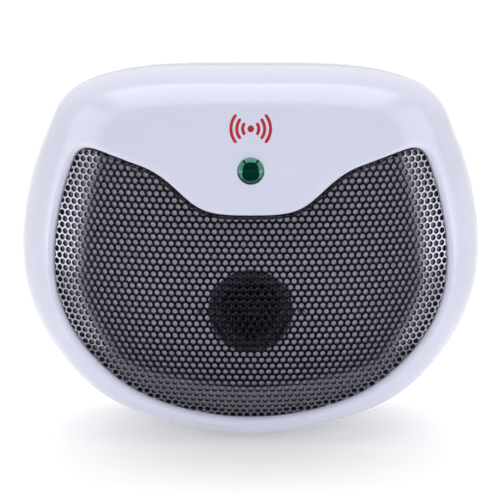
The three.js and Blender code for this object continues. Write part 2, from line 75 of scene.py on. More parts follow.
HOLE_PITCH = 2.0
HOLE_RADIUS = 0.90  # at the face of the sheet, outside its rounded rim
HOLE_RIM = 0.08  # width of that rim
HOLE_RIM_DEPTH = 0.7 * HOLE_RIM
HOLE_TAPER = 0.18  # how much the punched wall closes in towards the back
HOLE_SIDES = 12
SHEET_SETBACK = 0.9  # from the dome of the shell to the face of the sheet
SHEET_THICKNESS = 0.7
SHEET_GAP = 0.35  # between the shell's edge and the sheet's folded edge
FOLD_ROUND = 0.7  # radius of the fold
FLANGE = 1.5  # straight part of the folded edge
RIM_TILT = math.radians(38)  # slope of the rim where it meets the hole's wall

LENS_Z = 80.0
LENS_RADIUS = 3.65
LENS_RISE = 1.85  # height of its cap
LENS_FLANGE_Y = -28.7
MARK_Z = 91.4
MARK_WAVES = (2.2, 3.8, 5.4)  # radii of the waves
MARK_DOT = 0.9
MARK_LINE = 0.42  # half the width of a wave
PRINT_LIFT = 0.06  # thickness of the print
PRINT_EDGE = 0.02  # height at which its edge starts to round
PRINT_ROOT = 0.3  # how far it reaches below the surface
TWEETER_Z = 36.0
TWEETER_RADIUS = 11.7

CASE_SCREWS = [(-45, 91), (45, 91), (-44.5, 19.5), (44.5, 19.5)]
CASE_SCREW_HEAD_Y = 12.0
CASE_SCREW_TIP_Y = -8.2
BOSS_RADIUS = 4.6
RECESS_RADIUS = 3.1
SHANK_HOLE = 1.7
JACK_X = -20.0
JACK_Z = 47.0
JACK_HOLE = 4.5
JACK_DEPTH = 9.5
SWITCH_X = 18.0
SWITCH_Z = 47.0
SWITCH_TRAVEL = 4.0
SWITCH_HOLE = (4.3, 2.3)  # half sizes
REAR_FOOT_X = 25.0
REAR_FOOT_Y = 21.0
REAR_FOOT_HEIGHT = 2.2
REAR_FOOT_RADIUS = 5.2
STAND_RADIUS = 6.4
STAND_TOP_Z = 20.0
CUT_PAST = 3.0  # how far cutting tools reach past what they cut


# ---- mesh helpers ----
def new_piece(name, points, faces, material, crease, body="unit"):
    """A mesh piece from points in millimetres. Edges sharper than `crease` degrees stay sharp."""
    mesh = bpy.data.meshes.new(name)
    mesh.from_pydata((np.asarray(points, float) * MM).tolist(), [], [list(map(int, f)) for f in faces])
    mesh.validate()
    mesh.materials.append(material)
    work = bmesh.new()
    work.from_mesh(mesh)
    bmesh.ops.recalc_face_normals(work, faces=work.faces)
    work.to_mesh(mesh)
    work.free()
    mesh.shade_smooth()
    mesh.set_sharp_from_angle(angle=math.radians(crease))
    piece = bpy.data.objects.new(name, mesh)
    bpy.context.scene.collection.objects.link(piece)
    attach(piece, body)
    return piece


def strip_faces(rows, count):
    """Quads between consecutive closed rows of `count` points each."""
    faces = []
    for row in range(rows - 1):
        for i in range(count):
            a = row * count + i
            b = row * count + (i + 1) % count
            faces.append((a, b, b + count, a + count))
    return faces


def end_caps(rows, count):
    """The two faces that close a tube of rows at its ends."""
    return [tuple(range(count)), tuple(range(rows * count - 1, (rows - 1) * count - 1, -1))]


def turned(name, profile, x, z, material, sides):
    """A part turned about a line along Y. The profile is a list of (radius, y)."""
    points = []
    faces = []
    rings = []
    for radius, y in profile:
        if radius < 1e-6:
            rings.append([len(points)])
            points.append((x, y, z))
            continue
        rings.append(list(range(len(points), len(points) + sides)))
        for k in range(sides):
            turn = 2 * math.pi * k / sides
            points.append((x + radius * math.cos(turn), y, z + radius * math.sin(turn)))
    for near, far in zip(rings, rings[1:]):
        for k in range(sides):
            n = (k + 1) % sides
            if len(near) == 1 and len(far) > 1:
                faces.append((near[0], far[k], far[n]))
            elif len(far) == 1 and len(near) > 1:
                faces.append((near[k], near[n], far[0]))
            elif len(near) > 1:
                faces.append((near[k], near[n], far[n], far[k]))
    return new_piece(name, points, faces, material, crease=35)


def rounded(profile, radius):
    """A profile with its inner corners rounded, as far as its sides leave room."""
    steps = 5
    room = 0.45
    out = [profile[0]]
    for before, corner, after in zip(profile, profile[1:], profile[2:]):
        corner = np.array(corner, float)
        back = np.array(before, float) - corner
        on = np.array(after, float) - corner
        r = min(radius, room * np.linalg.norm(back), room * np.linalg.norm(on))
        start = corner + back / max(np.linalg.norm(back), 1e-9) * r
        end = corner + on / max(np.linalg.norm(on), 1e-9) * r
        for k in range(steps + 1):
            t = k / steps
            out.append(tuple((1 - t) ** 2 * start + 2 * t * (1 - t) * corner + t**2 * end))
    out.append(profile[-1])
    return out


# ---- cutting ----
def cutter(name, points, faces):
    """A closed mesh to cut with; points in millimetres."""
    mesh = bpy.data.meshes.new(name)
    mesh.from_pydata((np.asarray(points, float) * MM).tolist(), [], faces)
    work = bmesh.new()
    work.from_mesh(mesh)
    bmesh.ops.recalc_face_normals(work, faces=work.faces)
    work.to_mesh(mesh)
    work.free()
    tool = bpy.data.objects.new(name, mesh)
    bpy.context.scene.collection.objects.link(tool)
    return tool


def rod_cutter(radius, x, z, y_from, y_to, sides=64):
    """A round rod along Y."""
    points = []
    for y in (y_from, y_to):
        for k in range(sides):
            turn = 2 * math.pi * k / sides
            points.append((x + radius * math.cos(turn), y, z + radius * math.sin(turn)))
    return cutter("rod_cutter", points, strip_faces(2, sides) + end_caps(2, sides))


def box_cutter(x, z, half_x, half_z, y_from, y_to):
    """A box along Y."""
    corners = [(-1, -1), (1, -1), (1, 1), (-1, 1)]
    points = [(x + a * half_x, y, z + b * half_z) for y in (y_from, y_to) for a, b in corners]
    return cutter("box_cutter", points, strip_faces(2, 4) + end_caps(2, 4))


def cut(piece, tools, operation="DIFFERENCE", crease=40):
    """Applies booleans to a piece and removes the tools."""
    for tool in tools:
        change = piece.modifiers.new("cut", "BOOLEAN")
        change.operation = operation
        change.solver = "EXACT"
        change.object = tool
    graph = bpy.context.evaluated_depsgraph_get()
    made = bpy.data.meshes.new_from_object(piece.evaluated_get(graph))
    made.name = piece.name
    piece.modifiers.clear()
    piece.data = made
    made.shade_smooth()
    made.set_sharp_from_angle(angle=math.radians(crease))
    for tool in tools:
        bpy.data.objects.remove(tool)


# ---- outlines and surfaces ----
def mirrored(half):
    """The whole loop from its right half, top to bottom."""
    return half + [(-x, z) for x, z in half[-2:0:-1]]


def smooth_outline(handles, steps):
    """The closed uniform cubic B-spline that the handles pull on."""
    handles = np.array(handles, float)
    t = (np.arange(steps) / steps)[:, None]
    weights = ((1 - t) ** 3, 3 * t**3 - 6 * t**2 + 4, -3 * t**3 + 3 * t**2 + 3 * t + 1, t**3)
    count = len(handles)
    spans = []
    for i in range(count):
        near = [handles[(i + k) % count] for k in (-1, 0, 1, 2)]
        spans.append(sum(w * h for w, h in zip(weights, near)) / 6)
    return np.concatenate(spans)


def lengths_along(line):
    """The distance travelled along a line at each of its points."""
    return np.concatenate([[0], np.cumsum(np.linalg.norm(np.diff(line, axis=0), axis=1))])


def evenly(loop, count):
    """The closed loop again, as `count` points equally far apart."""
    ring = np.vstack([loop, loop[:1]])
    travelled = lengths_along(ring)
    at = np.linspace(0, travelled[-1], count, endpoint=False)
    return np.column_stack([np.interp(at, travelled, ring[:, k]) for k in (0, 1)])


def outward(loop):
    """Unit vectors pointing out of a closed loop that runs clockwise seen from the front."""
    along = np.roll(loop, -1, axis=0) - np.roll(loop, 1, axis=0)
    along /= np.linalg.norm(along, axis=1)[:, None]
    return np.column_stack([-along[:, 1], along[:, 0]])


def turn_of(spokes):
    """The directions of flat vectors, as angles."""
    return np.arctan2(spokes[:, 1], spokes[:, 0])


def three_turns(angles):
    """Rising angles, with a copy one turn below and one turn above, to interpolate in."""
    return np.concatenate([angles - 2 * np.pi, angles, angles + 2 * np.pi])


BODY_LOOP = smooth_outline(mirrored(BODY_HANDLES), 60)
SPOKES = BODY_LOOP - (0, APEX_Z)
SPOKE_ORDER = np.argsort(turn_of(SPOKES))
TURN_TABLE = three_turns(turn_of(SPOKES)[SPOKE_ORDER])
REACH_TABLE = np.tile(np.linalg.norm(SPOKES, axis=1)[SPOKE_ORDER], 3)


def reach(turn):
    """How far the outline is from the apex in a direction."""
    return np.interp(np.mod(turn + np.pi, 2 * np.pi) - np.pi, TURN_TABLE, REACH_TABLE)


def fullness(turn):
    """The power of the dome's section: 2 is an ellipse, more is squarer."""
    return FULLNESS_ACROSS + (FULLNESS_UPRIGHT - FULLNESS_ACROSS) * np.sin(turn) ** 2


def dome_point(turn, share, inset):
    """Points on the dome: a direction about the apex and a share of the way to the outline."""
    far = (reach(turn) - inset) * share
    n = fullness(turn)
    depth = (DOME_DEPTH - inset) * np.maximum(0, 1 - share**n) ** (1 / n)
    return np.stack([far * np.cos(turn), PART_Y - depth, APEX_Z + far * np.sin(turn)], axis=-1)


def polar(x, z, inset=0.0):
    """The direction about the apex and the share of the way to the outline."""
    turn = np.arctan2(z - APEX_Z, x)
    share = np.hypot(x, z - APEX_Z) / (reach(turn) - inset)
    return turn, np.clip(share, 0, 1)


def dome_at(x, z, inset=0.0):
    """Points on the dome straight behind (x, z)."""
    turn, share = polar(x, z, inset)
    return dome_point(turn, share, inset)


def dome_normal(x, z, inset=0.0):
    """Unit normals of the dome, pointing out of it."""
    step = 0.25
    across = dome_at(x + step, z, inset) - dome_at(x - step, z, inset)
    up = dome_at(x, z + step, inset) - dome_at(x, z - step, inset)
    normal = np.cross(across, up)
    return normal / np.linalg.norm(normal, axis=-1)[..., None]


def along_surface(flat, normal):
    """Flat (x, z) directions laid into the surface that has these normals."""
    laid = np.column_stack([flat[:, 0], np.zeros(len(flat)), flat[:, 1]])
    laid -= normal * np.sum(laid * normal, axis=1)[:, None]
    return laid / np.linalg.norm(laid, axis=1)[:, None]


OPENING = evenly(smooth_outline(mirrored(OPENING_HANDLES), 24), 720)
OPENING_OUT = outward(OPENING)


# ---- materials ----
class Nodes:
    """A new node material with its Principled shader."""

    def __init__(self, name, color, roughness, metallic=0.0):
        self.material = bpy.data.materials.new(name)
        self.material.use_nodes = True
        self.tree = self.material.node_tree
        self.shader = next(n for n in self.tree.nodes if n.type == "BSDF_PRINCIPLED")
        self.set("Base Color", (*color, 1))
        self.set("Roughness", roughness)
        self.set("Metallic", metallic)
        self.place = self.new("ShaderNodeTexCoord").outputs["Object"]
        self.bumps = None

    def set(self, socket, value):
        self.shader.inputs[socket].default_value = value

    def new(self, kind, **settings):
        node = self.tree.nodes.new(kind)
        for key, value in settings.items():
            setattr(node, key, value)
        return node

    def link(self, start, end):
        self.tree.links.new(start, end)

    def noise(self, size, detail, stretch=(1, 1, 1)):
        """Noise whose blotches are about `size` millimetres across."""
        mapping = self.new("ShaderNodeMapping")
        mapping.inputs["Scale"].default_value = stretch
        self.link(self.place, mapping.inputs["Vector"])
        noise = self.new("ShaderNodeTexNoise")
        noise.inputs["Scale"].default_value = 1 / (size * MM)
        noise.inputs["Detail"].default_value = detail
        self.link(mapping.outputs["Vector"], noise.inputs["Vector"])
        return noise.outputs["Fac"]

    def between(self, value, low, high):
        """The 0..1 value spread over low..high."""
        spread = self.new("ShaderNodeMapRange")
        spread.inputs["From Min"].default_value = 0.25
        spread.inputs["From Max"].default_value = 0.75
        spread.inputs["To Min"].default_value = low
        spread.inputs["To Max"].default_value = high
        self.link(value, spread.inputs["Value"])
        return spread.outputs["Result"]

    def vary_color(self, value, low, high):
        mix = self.new("ShaderNodeMix", data_type="RGBA")
        mix.inputs["A"].default_value = (*low, 1)
        mix.inputs["B"].default_value = (*high, 1)
        self.link(self.between(value, 0, 1), mix.inputs["Factor"])
        self.link(mix.outputs["Result"], self.shader.inputs["Base Color"])

    def vary_roughness(self, value, low, high):
        self.link(self.between(value, low, high), self.shader.inputs["Roughness"])

    def bump(self, height, depth):
        """Adds relief `depth` millimetres deep."""
        bump = self.new("ShaderNodeBump")
        bump.inputs["Distance"].default_value = depth * MM
        bump.inputs["Strength"].default_value = 1.0
        self.link(height, bump.inputs["Height"])
        if self.bumps:
            self.link(self.bumps, bump.inputs["Normal"])
        self.bumps = bump.outputs["Normal"]
        self.link(self.bumps, self.shader.inputs["Normal"])


def plastic(name, color, roughness, relief, grain=0.35, shade=0.93):
    """A moulded plastic: slight shade drift, patchy gloss and a fine surface grain."""
    spread = 0.04
    nodes = Nodes(name, color, roughness)
    nodes.vary_color(nodes.noise(18, 2), tuple(c * shade for c in color), color)
    nodes.vary_roughness(nodes.noise(5, 3), max(0.02, roughness - spread), roughness + spread)
    nodes.bump(nodes.noise(grain, 3), relief)
    return nodes


def metal(name, color, roughness, stretch=(1, 1, 1)):
    """A metal with cloudy colour and fine scratches, drawn out by `stretch`."""
    nodes = Nodes(name, color, roughness, 1.0)
    nodes.vary_color(nodes.noise(3, 3), tuple(c * 0.8 for c in color), color)
    nodes.vary_roughness(nodes.noise(0.4, 3, stretch), roughness * 0.8, roughness * 1.25)
    nodes.bump(nodes.noise(0.15, 2, stretch), 0.004)
    return nodes


def shell_material():
    """Cool white gloss plastic with a faint orange peel; light enters it a little."""
    white = (0.73, 0.745, 0.875)
    nodes = plastic("gloss_white_moulding", white, 0.16, grain=1.6, relief=0.0015, shade=0.985)
    nodes.bump(nodes.noise(0.25, 2), 0.0006)
    nodes.set("Specular IOR Level", 0.3)
    nodes.set("Subsurface Weight", 0.08)
    nodes.set("Subsurface Radius", (0.8 * MM, 0.8 * MM, 1.0 * MM))
    nodes.set("Subsurface Scale", 1.0)
    return nodes.material


def baffle_material():
    """The pale plate; a faint glow stands for light that comes through it from the white case."""
    nodes = plastic("satin_white_plate", (0.90, 0.86, 0.99), 0.5, grain=0.3, relief=0.006)
    nodes.set("Emission Color", (0.95, 0.88, 1.0, 1))
    nodes.set("Emission Strength", 0.05)
    return nodes.material


def sheet_material():
    """The dark, half glossy coating of the perforated sheet."""
    nodes = Nodes("black_coated_sheet", (0.15, 0.146, 0.178), 0.12, 1.0)
    nodes.vary_color(nodes.noise(6, 3), (0.138, 0.134, 0.164), (0.16, 0.156, 0.19))
    nodes.vary_roughness(nodes.noise(0.8, 3), 0.09, 0.15)
    nodes.bump(nodes.noise(0.12, 2), 0.003)
    return nodes.material


def lens_material():
    """Deep green polished plastic whose reflections are tinted."""
    nodes = Nodes("green_lens", (0.0, 0.03, 0.02), 0.06)
    nodes.vary_color(nodes.noise(2.5, 2), (0.0, 0.022, 0.015), (0.0, 0.034, 0.024))
    nodes.vary_roughness(nodes.noise(1.2, 2), 0.04, 0.09)
    nodes.bump(nodes.noise(0.9, 1), 0.001)
    nodes.set("Specular IOR Level", 0.85)
    nodes.set("Specular Tint", (0.3, 1.0, 0.68, 1))
    return nodes.material


def banded(name, color, roughness, metallic, pitch):
    """Fine parallel ridges, `pitch` millimetres apart: laminations or turns of wire."""
    nodes = Nodes(name, color, roughness, metallic)
    nodes.vary_color(nodes.noise(2, 2), tuple(c * 0.75 for c in color), color)
    nodes.vary_roughness(nodes.noise(0.6, 2), roughness * 0.85, roughness * 1.15)
    wave = nodes.new("ShaderNodeTexWave", bands_direction="Y")
    wave.inputs["Scale"].default_value = 1 / (pitch * MM) / 20 * math.pi
    nodes.link(nodes.place, wave.inputs["Vector"])
    nodes.bump(wave.outputs["Fac"], 0.12)
    return nodes.material


def board_material():
    """Green solder mask with faint tracks under it."""
    green = (0.012, 0.13, 0.05)
    nodes = Nodes("solder_mask", green, 0.3)
    cells = nodes.new("ShaderNodeTexVoronoi", feature="DISTANCE_TO_EDGE", distance="MANHATTAN")
    cells.inputs["Scale"].default_value = 1 / (5 * MM)
    nodes.link(nodes.place, cells.inputs["Vector"])
    nodes.vary_color(cells.outputs["Distance"], (0.02, 0.2, 0.08), green)
    nodes.vary_roughness(nodes.noise(3, 2), 0.26, 0.36)
    nodes.bump(nodes.noise(0.5, 2), 0.01)
    return nodes.material


SHELL = shell_material()
SHEET = sheet_material()
LENS = lens_material()
BAFFLE = baffle_material()
BLACK = plastic("matt_black_plastic", (0.012, 0.012, 0.016), 0.42, relief=0.01, shade=0.7).material
CONE = plastic("tweeter_black", (0.01, 0.01, 0.014), 0.35, relief=0.006, shade=0.7).material
SURROUND = plastic("tweeter_dark_grey", (0.12, 0.115, 0.135), 0.4, relief=0.006, shade=0.7).material
RUBBER = plastic("pale_rubber", (0.5, 0.51, 0.56), 0.65, grain=0.3, relief=0.02, shade=0.85).material
MARK_RED = plastic("printed_red", (0.52, 0.005, 0.015), 0.35, grain=0.2, relief=0.002, shade=0.9).material
STEEL = metal("zinc_plated_steel", (0.62, 0.62, 0.64), 0.28).material
BRASS = metal("rolled_brass", (0.8, 0.6, 0.26), 0.3, (1, 1, 8)).material
CERAMIC = plastic("fired_ceramic", (0.7, 0.66, 0.58), 0.5, grain=0.15, relief=0.008).material
LAMP = plastic("tinted_lamp", (0.35, 0.66, 0.45), 0.12, grain=0.8, relief=0.002).material
SLEEVE = plastic("blue_sleeve", (0.02, 0.03, 0.12), 0.25, grain=0.8, relief=0.006, shade=0.8).material
WIRE_RED = plastic("red_insulation", (0.45, 0.015, 0.012), 0.4, grain=0.3, relief=0.01).material
WIRE_BLACK = plastic("black_insulation", (0.015, 0.015, 0.017), 0.4, grain=0.3, relief=0.01).material
CORE = banded("stacked_laminations", (0.3, 0.31, 0.33), 0.4, 0.9, 0.5)
WINDING = banded("enamelled_winding", (0.5, 0.2, 0.06), 0.3, 0.6, 0.3)
BOARD = board_material()


# ---- front shell ----
FAN_Z = 30.0  # the height of the point that the shell's spokes fan out from
DOME_ROWS = 46
INNER_ROWS = 14
LIP_STEPS = 8


def spoke_ends(edge):
    """The directions about the apex in which the fan through the edge's points meets the outline."""
    body_turn = turn_of(BODY_LOOP - (0, FAN_Z))
    order = np.argsort(body_turn)
    apex_turn = np.unwrap(turn_of(SPOKES[order]))
    return np.interp(turn_of(edge - (0, FAN_Z)), three_turns(body_turn[order]), three_turns(apex_turn))


def lip_rows(edge):
    """Rows round the opening: its rounded edge, the wall below it and the underside."""
    surface = dome_at(edge[:, 0], edge[:, 1])
    normal = dome_normal(edge[:, 0], edge[:, 1])
    inward = along_surface(-OPENING_OUT, normal)
    rows = []
    for k in range(1, LIP_STEPS + 1):
        bend = math.pi / 2 * k / LIP_STEPS
        sideways = LIP_ROUND * math.sin(bend)
        down = LIP_ROUND * (1 - math.cos(bend))
        rows.append(surface + inward * sideways - normal * down)
    bottom = surface - normal * (LIP_ROUND + LIP_WALL)
    rows.append(bottom + inward * LIP_ROUND)
    rows.append(bottom + inward * (LIP_ROUND - LIP_THICKNESS))
    return rows


def front_shell():
    """The domed moulding with its rounded edge round the grille opening."""
    edge = OPENING + OPENING_OUT * LIP_ROUND
    start_turn, start_share = polar(edge[:, 0], edge[:, 1])
    start_lift = np.arcsin(start_share)
    swing = np.mod(spoke_ends(edge) - start_turn + np.pi, 2 * np.pi) - np.pi

    def ring(share, inset):
        """The loop that lies this share of the way from the opening to the outline."""
        lift = start_lift + (math.pi / 2 - start_lift) * share
        return dome_point(start_turn + swing * share, np.sin(lift), inset)

    inner_rim = ring(1.0, WALL)
    soft_rim = ring(1.0, EDGE_SOFT)
    for rim in (inner_rim, soft_rim):
        rim[:, 1] = PART_Y - SEAM / 2
    rows = [inner_rim, soft_rim, ring(1.0, 0) - (0, EDGE_SOFT + SEAM / 2, 0)]
    rows += [ring(share, 0) for share in np.linspace(0.985, 0, DOME_ROWS)]  # outside, in to the opening
    rows += lip_rows(edge)
    rows += [ring(share, WALL) for share in np.linspace(0.06, 0.97, INNER_ROWS)]  # inside, back out
    rows.append(inner_rim - (0, 0.6, 0))
    count = len(edge)
    last = (len(rows) - 1) * count
    faces = strip_faces(len(rows), count)
    faces += [(last + i, last + (i + 1) % count, (i + 1) % count, i) for i in range(count)]
    shell = new_piece("front_moulding", np.concatenate(rows), faces, SHELL, crease=50)
    through = (-40, -20)  # from in front of the shell to behind its wall
    cut(shell, [rod_cutter(LENS_RADIUS + 0.05, 0, LENS_Z, *through)], crease=50)
    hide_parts("front_shell")


# ---- grille ----
LATTICE_ROWS = range(-40, 30)  # more than the sheet needs: holes that miss it are dropped
LATTICE_COLUMNS = range(-42, 43)


def sheet_places(flat):
    """Places on the dome of lattice points (u, v), so that the pitch is kept along the surface."""
    limit = 66.0  # the tables reach a little past the body's half width
    fine = np.linspace(-limit, limit, 1321)  # every 0.1 mm
    run = lengths_along(dome_at(fine, np.full_like(fine, APEX_Z), SHEET_SETBACK))
    x = np.interp(flat[:, 0], run - np.interp(0, fine, run), fine)

    x_grid = np.linspace(-limit, limit, 133)  # every 1 mm
    z_grid = np.linspace(-6, 112, 473)  # every 0.25 mm
    runs = []
    for column in x_grid:
        length = lengths_along(dome_at(np.full_like(z_grid, column), z_grid, SHEET_SETBACK))
        runs.append(length - np.interp(APEX_Z, z_grid, length))
    spacing = x_grid[1] - x_grid[0]
    slot = np.clip(((x + limit) / spacing).astype(int), 0, len(x_grid) - 2)
    part = (x - x_grid[slot]) / spacing
    z = np.zeros(len(flat))
    for k in np.unique(slot):
        here = slot == k
        low = np.interp(flat[here, 1], runs[k], z_grid)
        high = np.interp(flat[here, 1], runs[k + 1], z_grid)
        z[here] = low * (1 - part[here]) + high * part[here]
    return np.column_stack([x, z])


def inside_loop(points, loop):
    """Which points lie inside a closed loop."""
    inside = np.zeros(len(points), bool)
    x, z = points[:, 0], points[:, 1]
    for (x0, z0), (x1, z1) in zip(loop, np.roll(loop, -1, axis=0)):
        crosses = (z0 > z) != (z1 > z)
        if z0 != z1:
            inside ^= crosses & (x < (x1 - x0) * (z - z0) / (z1 - z0) + x0)
    return inside


def hole_rings(domain):
    """The punched holes that touch the domain: their centres and rim points as (x, z)."""
    row_step = HOLE_PITCH * math.sqrt(3) / 2
    centres = []
    for row in LATTICE_ROWS:
        shift = HOLE_PITCH / 2 if row % 2 else 0
        for k in LATTICE_COLUMNS:
            centres.append((k * HOLE_PITCH + shift, row * row_step))
    centres = np.array(centres)
    turns = 2 * math.pi * (np.arange(HOLE_SIDES) + 0.5) / HOLE_SIDES
    rim = np.column_stack([np.cos(turns), np.sin(turns)]) * HOLE_RADIUS
    flat = (centres[:, None, :] + rim[None, :, :]).reshape(-1, 2)
    places = sheet_places(flat).reshape(-1, HOLE_SIDES, 2)
    touching = inside_loop(places.reshape(-1, 2), domain).reshape(-1, HOLE_SIDES).any(axis=1)
    return places[touching]


def punched_triangles(fold_line):
    """Flat triangles of the sheet between its holes, out to the end of the folded edge."""
    fold_out = outward(fold_line)
    arc = FOLD_ROUND * math.pi / 2
    domain = (fold_line + fold_out * (arc + FLANGE))[::2]
    points = [tuple(p) for p in domain]
    faces = [list(range(len(domain)))[::-1]]  # counter-clockwise, as the triangulation wants it
    for ring in hole_rings(domain):
        first = len(points)
        points += [tuple(p) for p in ring]
        faces.append(list(range(first, first + len(ring))))
    edges = []
    for reach_out in (0.0, arc / 2, arc):
        line = (fold_line + fold_out * reach_out)[::2]
        first = len(points)
        points += [tuple(p) for p in line]
        edges += [(first + i, first + (i + 1) % len(line)) for i in range(len(line))]
    made = delaunay_2d_cdt([Vector(p) for p in points], edges, faces, 1, 1e-5)
    flat = np.array([tuple(v) for v in made[0]])
    metal_faces = [f for f, owners in zip(made[2], made[5]) if len(f) == 3 and list(owners) == [0]]
    used, triangles = np.unique(np.array(metal_faces), return_inverse=True)
    flat = flat[used]
    triangles = triangles.reshape(-1, 3)
    one = flat[triangles[:, 1]] - flat[triangles[:, 0]]
    other = flat[triangles[:, 2]] - flat[triangles[:, 0]]
    clockwise = one[:, 0] * other[:, 1] < one[:, 1] * other[:, 0]
    triangles[clockwise] = triangles[clockwise][:, ::-1]
    return flat, triangles


def folded(flat, fold_line):
    """Places and normals on the domed sheet; past the fold line it bends back and runs straight."""
    place = dome_at(flat[:, 0], flat[:, 1], SHEET_SETBACK)
    normal = dome_normal(flat[:, 0], flat[:, 1], SHEET_SETBACK)
    beyond = np.where(~inside_loop(flat, fold_line))[0]
    gaps = np.linalg.norm(flat[beyond, None, :] - fold_line[None, :, :], axis=2)
    nearest = gaps.argmin(axis=1)
    distance = gaps.min(axis=1)
    foot = fold_line[nearest]
    foot_place = dome_at(foot[:, 0], foot[:, 1], SHEET_SETBACK)
    foot_normal = dome_normal(foot[:, 0], foot[:, 1], SHEET_SETBACK)
    out = along_surface(outward(fold_line)[nearest], foot_normal)
    bend = np.minimum(distance / FOLD_ROUND, math.pi / 2)[:, None]
    straight = np.maximum(distance - FOLD_ROUND * math.pi / 2, 0)[:, None]
    down = FOLD_ROUND * (1 - np.cos(bend)) + straight
    place[beyond] = foot_place + out * FOLD_ROUND * np.sin(bend) - foot_normal * down
    normal[beyond] = foot_normal * np.cos(bend) + out * np.sin(bend)
    return place, normal


def border_edges(triangles):
    """The edges that only one triangle has."""
    pairs = np.concatenate([triangles[:, [0, 1]], triangles[:, [1, 2]], triangles[:, [2, 0]]])
    keys = {(a, b) for a, b in pairs.tolist()}
    return sorted((a, b) for a, b in keys if (b, a) not in keys)


def off_the_metal(place, normal, border):
    """For each border vertex, the direction into its hole or off the sheet's edge."""
    into = np.zeros_like(place)
    for a, b in border:
        side = np.cross(place[b] - place[a], normal[a])
        into[a] += side
        into[b] += side
    size = np.linalg.norm(into, axis=1)
    rim = size > 1e-9
    into[rim] /= size[rim][:, None]
    return into


def grille_mesh(points, faces):
    """The sheet's mesh with its two materials, without the points that no face has."""
    used = np.unique(np.concatenate([np.array(f) for f in faces]))
    renumber = np.zeros(len(points), int)
    renumber[used] = np.arange(len(used))
    mesh = bpy.data.meshes.new("perforated_grille")
    mesh.from_pydata((points[used] * MM).tolist(), [], [renumber[list(f)].tolist() for f in faces])
    mesh.materials.append(SHEET)
    mesh.materials.append(BLACK)
    return mesh


def grille():
    """The perforated sheet: each hole has a rounded rim and a black wall that closes in behind it."""
    fold_line = OPENING - OPENING_OUT * (SHEET_GAP + FOLD_ROUND)
    flat, triangles = punched_triangles(fold_line)
    place, normal = folded(flat, fold_line)
    border = border_edges(triangles)
    into = off_the_metal(place, normal, border)
    rim = place + into * HOLE_RIM - normal * HOLE_RIM_DEPTH
    back = place + into * (HOLE_RIM + HOLE_TAPER) - normal * SHEET_THICKNESS
    tilted = normal * math.cos(RIM_TILT) + into * math.sin(RIM_TILT)

    coated, black = 0, 1  # the slots of the two materials
    count = len(flat)
    faces = []
    loop_normals = []
    finish = []
    for a, b, c in triangles.tolist():
        faces += [(a, b, c), (c + 2 * count, b + 2 * count, a + 2 * count)]
        loop_normals += [normal[a], normal[b], normal[c], -normal[c], -normal[b], -normal[a]]
        finish += [coated, black]
    for a, b in border:
        faces.append((b, a, a + count, b + count))
        loop_normals += [normal[b], normal[a], tilted[a], tilted[b]]
        faces.append((b + count, a + count, a + 2 * count, b + 2 * count))
        loop_normals += [into[b], into[a], into[a], into[b]]
        finish += [coated, black]

    mesh = grille_mesh(np.vstack([place, rim, back]), faces)
    mesh.polygons.foreach_set("material_index", finish)
    mesh.shade_smooth()
    mesh.normals_split_custom_set(np.array(loop_normals).tolist())
    piece = bpy.data.objects.new("perforated_grille", mesh)
    bpy.context.scene.collection.objects.link(piece)
    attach(piece, "unit")
    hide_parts("grille")


# ---- rear shell ----
TUB_ROWS = 16
BACK_STEPS = 9  # round the back edge


def rear_width(y):
    """The body's width behind the seam, as a share of its width at the seam."""
    return 1 - REAR_TAPER * (max(0.0, y - PART_Y) / (BACK_Y - PART_Y)) ** 1.5


def tub_skin(inset, start_y, edge=0.0):
    """The tapering rear body as a closed skin; `edge` softens its front edge."""
    turns = turn_of(SPOKES[::2])
    far = reach(turns)
    back = BACK_Y - inset
    round_off = max(BACK_ROUND - inset, 1)
    sizes = []
    if edge:
        sizes.append((far - inset - edge, start_y))
    sizes.append((far - inset, start_y + edge))
    for y in np.linspace(max(start_y, PART_Y) + 1, back - round_off, TUB_ROWS):
        sizes.append((far * rear_width(y) - inset, y))
    for k in range(1, BACK_STEPS + 1):
        bend = math.pi / 2 * k / BACK_STEPS
        y = back - round_off * (1 - math.sin(bend))
        sizes.append((far * rear_width(y) - inset - round_off * (1 - math.cos(bend)), y))
    points = []
    for size, y in sizes:
        depth = np.full(len(turns), y)
        points.append(np.column_stack([size * np.cos(turns), depth, APEX_Z + size * np.sin(turns)]))
    count = len(turns)
    faces = strip_faces(len(points), count)
    last = (len(points) - 1) * count
    total = len(points) * count
    faces += [(last + i, last + (i + 1) % count, total) for i in range(count)]
    faces += [((i + 1) % count, i, total + 1) for i in range(count)]
    points += [[(0, back, APEX_Z)], [(0, start_y, APEX_Z)]]
    return np.concatenate(points), faces


def stand_ridge():
    """The moulded ridge over the rear feet, with rounded ends and a softened lower edge."""
    sides = 64
    turns = np.linspace(0, 2 * math.pi, sides, endpoint=False)
    side = np.where(np.cos(turns) >= 0, REAR_FOOT_X, -REAR_FOOT_X)
    rows = []
    bottom = REAR_FOOT_HEIGHT + 0.15
    for inset, z in ((0.5, bottom), (0.15, bottom + 0.15), (0, bottom + 0.5), (0, STAND_TOP_Z)):
        r = STAND_RADIUS - inset
        x = side + r * np.cos(turns)
        y = REAR_FOOT_Y + r * np.sin(turns)
        rows.append(np.column_stack([x, y, np.full(sides, z)]))
    faces = strip_faces(len(rows), sides) + end_caps(len(rows), sides)
    return cutter("stand_ridge", np.concatenate(rows), faces)


